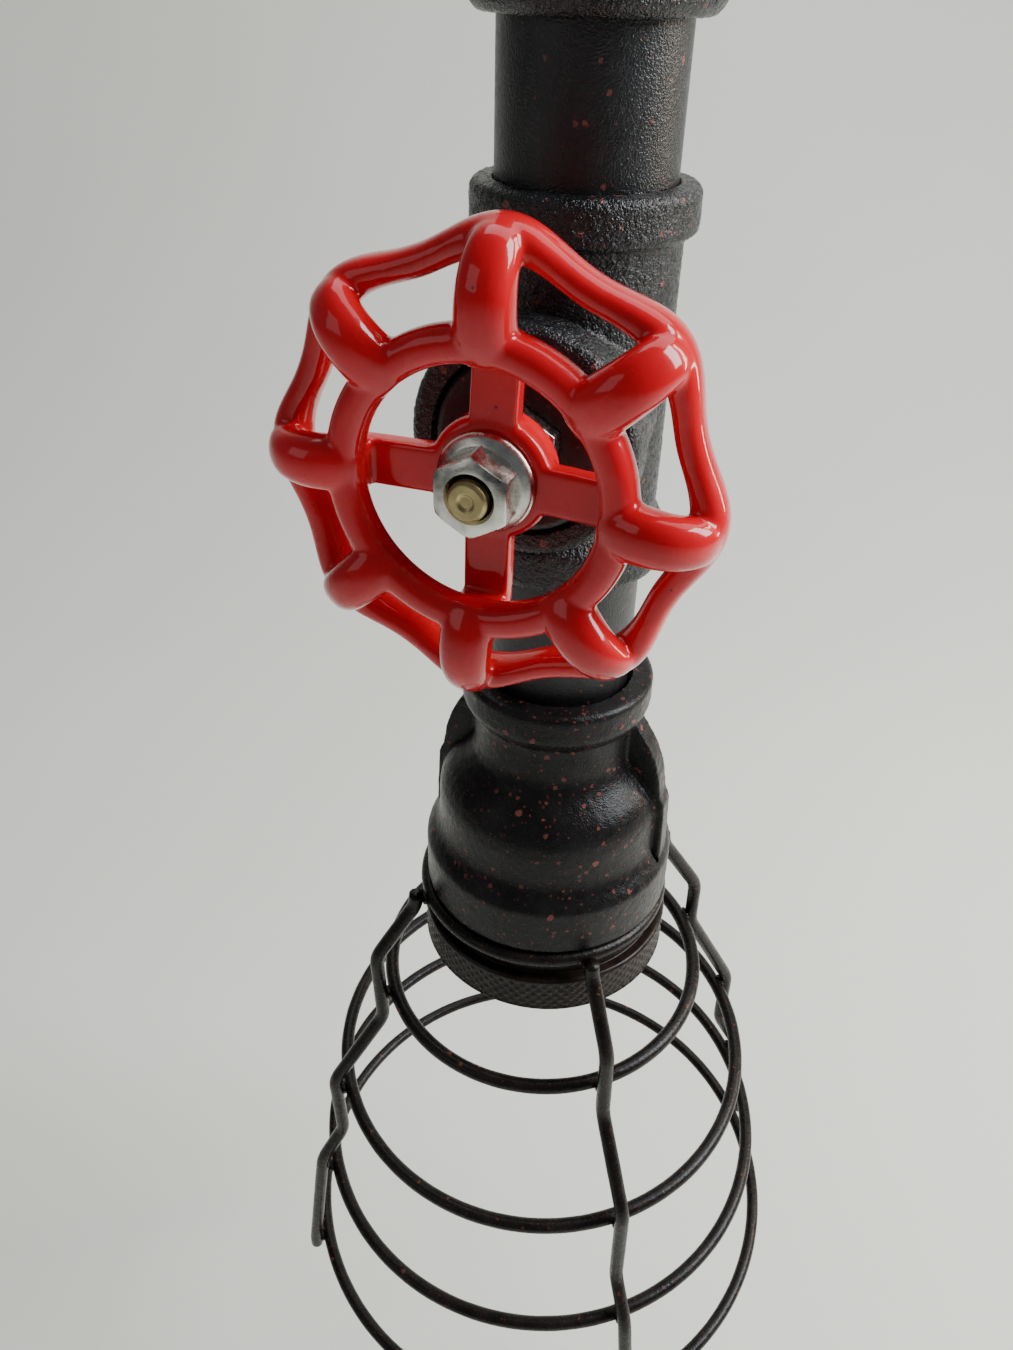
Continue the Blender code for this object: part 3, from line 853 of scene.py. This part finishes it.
def wheel_parts():
    """The shapes that the wheel's casting runs together."""
    parts = [
        ring_of("grip", lambda a: GRIP_R, lambda a: GRIP_AT, lambda a: 2.65, lambda a: 2.55),
        ring_of(
            "rim",
            rim_radius,
            height_at=lambda a: 37.2,
            width=lambda a: 2.9 + 0.5 * at_lobe(a),
            thick=lambda a: 2.0 + 0.6 * at_lobe(a),
        ),
        turned(
            "hub",
            [
                (3.2, HUB_FRONT), (HUB_R - 0.9, HUB_FRONT), (HUB_R, HUB_FRONT - 0.9),
                (HUB_R - 0.2, HUB_BACK + 0.6), (HUB_R - 0.9, HUB_BACK), (3.2, HUB_BACK),
            ],
            steps=96,
            radius=0.4,
        ),
    ]
    parts += [finger(k) for k in range(LOBES)]
    for k, spoke_turn in enumerate(SPOKE_TURNS):
        for name, size, centre, edge in SPOKE_BLOCKS:
            parts.append(slab(f"{name}_{k}", size, centre, edge=edge, turn=WHEEL_PHASE + spoke_turn))
    return parts


wheel = remeshed(joined("red_handwheel", wheel_parts()), 0.34, 8)
wheel.data.transform(Matrix.Scale(MM, 4) @ ON_BRANCH @ Matrix.Scale(1 / MM, 4))
dress(wheel, red_enamel, "wheel", "enamel_red", "handwheel")

EDGE_ANGLE = math.radians(40)
washer = turned(
    "nut_flange",
    [(NUT_BORE_R, NUT_BACK), (6.9, NUT_BACK), (7.05, 38.9), (6.7, 39.5), (5.6, 40.2), (NUT_BORE_R, 40.2)],
    steps=96,
    place=ON_BRANCH,
    radius=0.25,
)
crown = prism("nut_crown", NUT_FLATS, NUT_BACK + 0.5, NUT_FRONT, ON_BRANCH, 0.16)
chamfer = turned(
    "nut_chamfer",
    [(4.75, NUT_FRONT + 0.2), (6.6, NUT_FRONT - 1.1), (9.0, NUT_FRONT - 1.1), (9.0, 47.0), (4.75, 47.0)],
    place=ON_BRANCH,
    radius=0,
)
nut_bore = turned(
    "nut_bore",
    [(0, 48), (4.0, 48), (4.0, NUT_FRONT + 0.5), (NUT_BORE_R, NUT_FRONT - 0.4), (NUT_BORE_R, 36), (0, 36)],
    place=ON_BRANCH,
    radius=0,
    closed=False,
)
cut(crown, [chamfer, nut_bore])
crown.data.set_sharp_from_angle(angle=EDGE_ANGLE)
nut = joined("flange_nut_piece", [washer, crown])
nut.data.set_sharp_from_angle(angle=EDGE_ANGLE)
dress(nut, zinc_plate, "wheel", "zinc", "flange_nut")


# ---------------------------------------------------------------- bell reducer


def down(depth):
    """A height, from its depth under the bell's top."""
    return BELL_TOP - depth


bell = turned(
    "bell_outside",
    [
        (0, BELL_TOP), (17.3, BELL_TOP), (18.1, down(0.8)), (18.1, down(5.7)), (17.3, down(7.4)),
        (15.9, down(8.8)), (15.7, down(10.4)), (15.7, down(16.4)), (16.2, down(18.2)), (17.3, down(19.9)),
        (18.9, down(21.6)), (20.5, down(23.3)), (21.7, down(25.2)), (22.5, down(27.3)), (22.8, down(29.8)),
        (22.8, down(35.4)), (23.0, down(37.1)), (23.7, down(38.7)), (24.8, down(40.2)), (25.6, down(41.6)),
        (25.6, BELL_LOW + 0.6), (25.0, BELL_LOW), (0, BELL_LOW),
    ],
    steps=180,
    radius=0.6,
    closed=False,
)
LUG_TURN = -17.0
# the two ribs cast on the bell: (radius, depth under its top)
LUG_OUTLINE = (
    (10.0, 7.4), (16.6, 8.0), (18.0, 10.4), (19.8, 13.0), (21.2, 16.0), (22.3, 19.6),
    (23.1, 24.6), (24.0, 26.6), (24.3, 32.0), (24.5, 39.4), (10.0, 40.4),
)
lugs = []
for k in range(2):
    turn = Matrix.Rotation(math.radians(LUG_TURN + 180 * k), 4, "Z")
    outline = [Vector((x, down(depth))) for x, depth in LUG_OUTLINE]
    lugs.append(plate(f"lug_{k}", outline, 5.2, turn))
bell = remeshed(joined("bell_casting", [bell] + lugs), 0.4, 3)
lug_groove = slab("lug_groove", (2.2, 1.0, 11.6), (23.5, -3.1, down(34.6)), edge=0.48, turn=LUG_TURN)
SOCKET_FLOOR, MOUTH_R = -139.4, 20.7
cavity = turned(
    "bell_cavity",
    [
        (0, BELL_TOP + 5), (SOCKET_R + 0.5, BELL_TOP + 5), (SOCKET_R + 0.5, BELL_TOP - 0.4),
        (SOCKET_R, BELL_TOP - 1.2), (SOCKET_R, SOCKET_FLOOR), (PASSAGE_R, SOCKET_FLOOR), (PASSAGE_R, -145.5),
        (18.3, -151.5), (MOUTH_R, -155.0), (MOUTH_R, BELL_LOW + 1.0), (21.3, BELL_LOW - 0.1),
        (21.3, BELL_LOW - 5), (0, BELL_LOW - 5),
    ],
    steps=144,
    radius=0,
    closed=False,
)
cut(bell, [cavity, lug_groove])
roughened(bell, 0.05, 1.6, 0.4)
kept_under(bell, 2, BELL_LOW * MM, BELL_TOP * MM)
dress(bell, bell_iron, "pipe_run", "cast_black", "bell_reducer")


# ---------------------------------------------------------------- lampholder

HOLDER_TOP = node_span("holder_skirt", 2)[1]
HOLDER_LOW = -195.9
HOLDER_R, HOLDER_SEAT_R, HOLDER_BORE_R, HOLDER_LIP_R = 19.7, 18.4, 16.6, 14.4
SHELL_TOP, SHELL_LOW = -170.8, -188.5
SHELL_R = 13.9
CREST = 0.05

skirt = turned(
    "holder_skirt_piece",
    [
        (HOLDER_SEAT_R, HOLDER_TOP), (19.3, HOLDER_TOP), (HOLDER_R, -159.0), (HOLDER_R, -195.0),
        (18.8, HOLDER_LOW), (14.9, HOLDER_LOW), (HOLDER_LIP_R, -195.3), (HOLDER_LIP_R, -190.0),
        (HOLDER_BORE_R, -189.0), (HOLDER_BORE_R, -164.0), (HOLDER_SEAT_R, -164.0),
    ],
    steps=160,
    radius=0.4,
    longest=0.5,
    relief=threaded(3.0, 0.3, -194.6, -172.0, outside_of=19.2),
)
kept_within(skirt, HOLDER_R + CREST)
dress(skirt, dark_bakelite, "pipe_run", "bakelite", "holder_skirt")

shell = turned(
    "screw_shell_piece",
    [(SHELL_R, SHELL_TOP), (SHELL_R, SHELL_LOW), (SHELL_R - 0.45, SHELL_LOW), (SHELL_R - 0.45, SHELL_TOP)],
    steps=144,
    radius=0,
    longest=0.3,
    relief=threaded(3.62, 0.32, -188.2, -172.0),
)
kept_within(shell, SHELL_R + CREST)
dress(shell, contact_brass, "pipe_run", "brass", "screw_shell")

KNURLS = 72
KNURL_TOP = -184.9


def knurl(r, z, turn):
    """Depth of the diamond pattern pressed into the shade ring's band."""
    if r < RING_R - 0.5 or not RING_LOW + 0.9 < z < KNURL_TOP:
        return 0.0
    lean = (z - RING_LOW) / RING_R
    across = abs(((turn + lean) * KNURLS / TAU) % 1.0 * 2 - 1)
    back = abs(((turn - lean) * KNURLS / TAU) % 1.0 * 2 - 1)
    return 0.5 * max(0.0, max(across, back) - 0.35)


shade_ring = turned(
    "knurled_ring",
    [
        (20.2, RING_TOP), (23.6, RING_TOP), (24.0, -184.0), (RING_R - 0.6, -184.1), (RING_R - 0.1, -184.8),
        (RING_R - 0.1, RING_LOW + 0.8), (RING_R - 0.7, RING_LOW), (20.7, RING_LOW), (20.2, RING_LOW + 0.5),
    ],
    steps=480,
    radius=0.3,
    longest=0.3,
    relief=lambda r, z, turn: (r - knurl(r, z, turn), z),
)
dress(shade_ring, ring_bakelite, "ring", "bakelite", "shade_ring")


# ---------------------------------------------------------------- wire guard

# the wires' thickness wanders, so their mean is held under the frame's
WANDER = 0.03
RING_WIRE_R, BAR_WIRE_R = WIRE_R * 0.97, WIRE_R * 0.965


def wire_ring(name, radius, height, place, nodes, sway):
    """A welded ring of wire, which sways a little out of its plane."""
    path = []
    count = 160
    for i in range(count):
        angle = 360 * i / count
        path.append(polar(radius, angle, height + sway * math.sin(math.radians(2 * angle + radius))))
    made = tube(name, path, RING_WIRE_R, place, closed=True, uneven=WANDER)
    return dress(made, wire_paint, "guard", "wire_black", *nodes)


wire_ring("hoop_wire", HOOP_R, HOOP_Z, Matrix.Translation((GUARD_ORIGIN[0], 0, 0)), ["guard_hoop"], 0.0)
for k, (radius, drop) in enumerate(GUARD_RINGS):
    wire_ring(f"guard_hoop_{k + 1}", radius, -drop, ON_GUARD, [f"guard_ring_{k + 1}"], 0.1)

OUT = 2 * WIRE_R + 0.3
HOOP_REACH, REACH_1, REACH_2, REACH_3, REACH_4 = [
    radius + OUT for radius in (HOOP_R,) + tuple(radius for radius, drop in GUARD_RINGS)
]
TOP_BENDS = ((HOOP_REACH, 0.2), (HOOP_REACH + 0.5, 3.6))
FOOT = ((REACH_4, 125.0), (REACH_4 + 0.1, 128.1))
# the bends between, as (radius, drop): each wire is bent a little differently
BENDS = {
    "right": ((REACH_1, 20.0), (REACH_1, 33.0), (REACH_2, 60.0), (REACH_2, 77.5), (REACH_3, 91.0)),
    "back": ((REACH_1, 18.0), (REACH_1, 35.0), (REACH_2, 57.0), (REACH_2, 79.0), (REACH_3, 90.5)),
    "left": ((REACH_1, 17.0), (REACH_1, 37.5), (REACH_2, 57.0), (REACH_2, 77.5), (REACH_3, 88.5)),
    "front": ((REACH_1, 17.0), (REACH_1, 36.5), (REACH_2, 54.5), (REACH_2, 81.0), (REACH_3, 90.5)),
}
welds = [(HOOP_R, 2.1)] + list(GUARD_RINGS)


def weld_bead(name, radius, turn, drop):
    """A short uneven bead in the angle between a ring and an upright wire."""
    steps = (-1.2, -0.4, 0.4, 1.2)
    seam = [polar(radius + WIRE_R + 0.15, turn + math.degrees(step / radius), -drop) for step in steps]
    return tube(name, seam, 0.75, ON_GUARD, uneven=0.4)


for tag, turn in GUARD_WIRES.items():
    course = [polar(r, turn, -s) for r, s in TOP_BENDS + BENDS[tag] + FOOT]
    parts = [tube(f"guard_bar_{tag}", smooth_path(course, 2.4), BAR_WIRE_R, ON_GUARD, uneven=WANDER)]
    parts += [weld_bead(f"weld_{tag}_{i}", radius, turn, drop) for i, (radius, drop) in enumerate(welds)]
    dress(joined(f"guard_rod_{tag}", parts), wire_paint, "guard", "wire_black", f"guard_wire_{tag}")


# ---------------------------------------------------------------- finish of the frame's own pieces

KEPT = {
    "switch_housing": dark_bakelite,
    "switch_rotor": dark_bakelite,
    "switch_contact_a": contact_brass,
    "switch_contact_b": contact_brass,
    "support_disc": zinc_plate,
    "holder_locknut": zinc_plate,
    "holder_rod": zinc_plate,
    "holder_cap": dark_bakelite,
    "holder_insert": white_ceramic,
    "centre_contact": contact_brass,
    "side_contact": contact_brass,
    "terminal_screw_a": contact_brass,
    "terminal_screw_b": contact_brass,
}
for name, paint in KEPT.items():
    node = frame["nodes"][name]
    for place in node.material_slots:
        place.material = paint


# ---------------------------------------------------------------- floor, light and camera

# in metres from here on
FLOOR_Z = -0.42
CURVE_AT, CURVE_R = 0.45, 0.5


def backdrop():
    """A pale floor that curves up into a plain wall behind the lamp."""
    profile = [(-3.0, FLOOR_Z), (CURVE_AT, FLOOR_Z)]
    for i in range(1, 17):
        turn = math.radians(90 * i / 16)
        profile.append((CURVE_AT + CURVE_R * math.sin(turn), FLOOR_Z + CURVE_R * (1 - math.cos(turn))))
    profile.append((CURVE_AT + CURVE_R, 3.0))
    work = bmesh.new()
    rows = [[work.verts.new((x, y, z)) for x in (-4.0, 4.0)] for y, z in profile]
    for row, following in zip(rows, rows[1:]):
        work.faces.new((row[0], row[1], following[1], following[0]))
    mesh = bpy.data.meshes.new("backdrop")
    work.to_mesh(mesh)
    work.free()
    mesh.shade_smooth()
    made = bpy.data.objects.new("backdrop", mesh)
    bpy.context.scene.collection.objects.link(made)
    paint, tree, shader = new_material("plaster")
    tone = ramp(tree, noise_at(tree, 3.0, 3.0), ((0.3, (0.81, 0.80, 0.735)), (0.7, (0.85, 0.84, 0.775))))
    tree.links.new(tone, shader.inputs["Base Color"])
    shader.inputs["Roughness"].default_value = 0.9
    mesh.materials.append(paint)


def area_light(name, place, target, size, watts, colour):
    """A soft light, turned towards its target."""
    light = bpy.data.lights.new(name, "AREA")
    light.shape = "RECTANGLE"
    light.size, light.size_y = size
    light.energy = watts
    light.color = colour
    made = bpy.data.objects.new(name, light)
    made.location = place
    made.rotation_euler = (Vector(target) - Vector(place)).to_track_quat("-Z", "Y").to_euler()
    bpy.context.scene.collection.objects.link(made)


backdrop()
middle = (0, 0, -0.12)
area_light("window", (0.8, -0.1, 0.5), middle, (0.4, 0.75), 17, (0.9, 0.95, 1.0))
area_light("sky", (0.2, 0.5, 1.2), middle, (1.5, 1.0), 11, (0.94, 0.97, 1.0))
area_light("strip", (0.6, 0.16, 0.12), middle, (0.06, 0.6), 2.4, (1.0, 0.88, 0.7))
area_light("fill", (-0.9, -0.7, 0.3), middle, (0.6, 0.6), 0.8, (1.0, 0.98, 0.95))
world = bpy.data.worlds.new("room")
world.use_nodes = True
world.node_tree.nodes["Background"].inputs["Color"].default_value = (0.75, 0.8, 0.85, 1.0)
world.node_tree.nodes["Background"].inputs["Strength"].default_value = 0.16
bpy.context.scene.world = world

# the camera looks down past the coupling, from a hand's breadth in front of the pipe
CAMERA_AT = (0, -0.16557, -0.0135)
YAW, PITCH, ROLL = math.radians(-3.3557), math.radians(34.568), math.radians(1.4177)

lens = bpy.data.cameras.new("camera")
lens.sensor_fit = "VERTICAL"
lens.sensor_height = 36.0
lens.lens = 28.0
lens.clip_start = 0.005
camera = bpy.data.objects.new("camera", lens)
forward = Vector((math.sin(YAW) * math.cos(PITCH), math.cos(YAW) * math.cos(PITCH), -math.sin(PITCH)))
level = Vector((math.cos(YAW), -math.sin(YAW), 0))
above = level.cross(forward)
right = math.cos(ROLL) * level + math.sin(ROLL) * above
up = math.cos(ROLL) * above - math.sin(ROLL) * level
turned_to = Matrix((right, up, -forward)).transposed().to_4x4()
camera.matrix_world = Matrix.Translation(CAMERA_AT) @ turned_to
bpy.context.scene.collection.objects.link(camera)
bpy.context.scene.camera = camera
